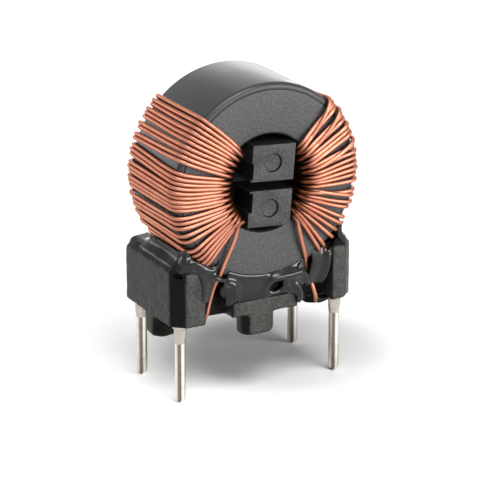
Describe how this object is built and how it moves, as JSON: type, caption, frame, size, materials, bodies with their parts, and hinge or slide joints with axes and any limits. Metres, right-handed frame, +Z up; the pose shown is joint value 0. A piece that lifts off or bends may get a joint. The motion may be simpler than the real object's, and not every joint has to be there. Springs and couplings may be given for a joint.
{
  "type": "common mode choke",
  "caption": "Board-mounted common mode choke: ring core in a black case with copper windings on its left and right halves, a slotted divider, and a moulded base with solder pins.",
  "frame": {"origin": "middle of the pin pattern on the seating plane, where the feet stand on the board", "axes": "+Z up from the board, X along the long side of the pin pattern, the ring's axis along Y with the pictured face towards -Y"},
  "size_m": [0.018, 0.0108, 0.0272],
  "materials": {
    "base_plastic": "moulded black, semi-matte with fine texture",
    "case_plastic": "moulded black, semi-matte with fine texture",
    "divider_plastic": "moulded black, semi-matte with fine texture",
    "ferrite": "sintered, dull dark grey",
    "copper_wire": "enamelled copper, bright",
    "tinned_pin": "bright tin",
    "solder": "smooth tin solder",
    "glue": "glossy black resin"
  },
  "bodies": {
    "root": {"base": "base_plastic", "case_cup": "case_plastic", "case_lid": "case_plastic", "ferrite_core": "ferrite", "divider": "divider_plastic", "winding_left": "copper_wire", "winding_right": "copper_wire", "glue_front": "glue", "glue_back": "glue", "glue_left": "glue", "glue_right": "glue", "pin_front_left": "tinned_pin", "solder_front_left": "solder", "pin_front_right": "tinned_pin", "solder_front_right": "solder", "pin_back_left": "tinned_pin", "solder_back_left": "solder", "pin_back_right": "tinned_pin", "solder_back_right": "solder"}
  },
  "joints": []
}
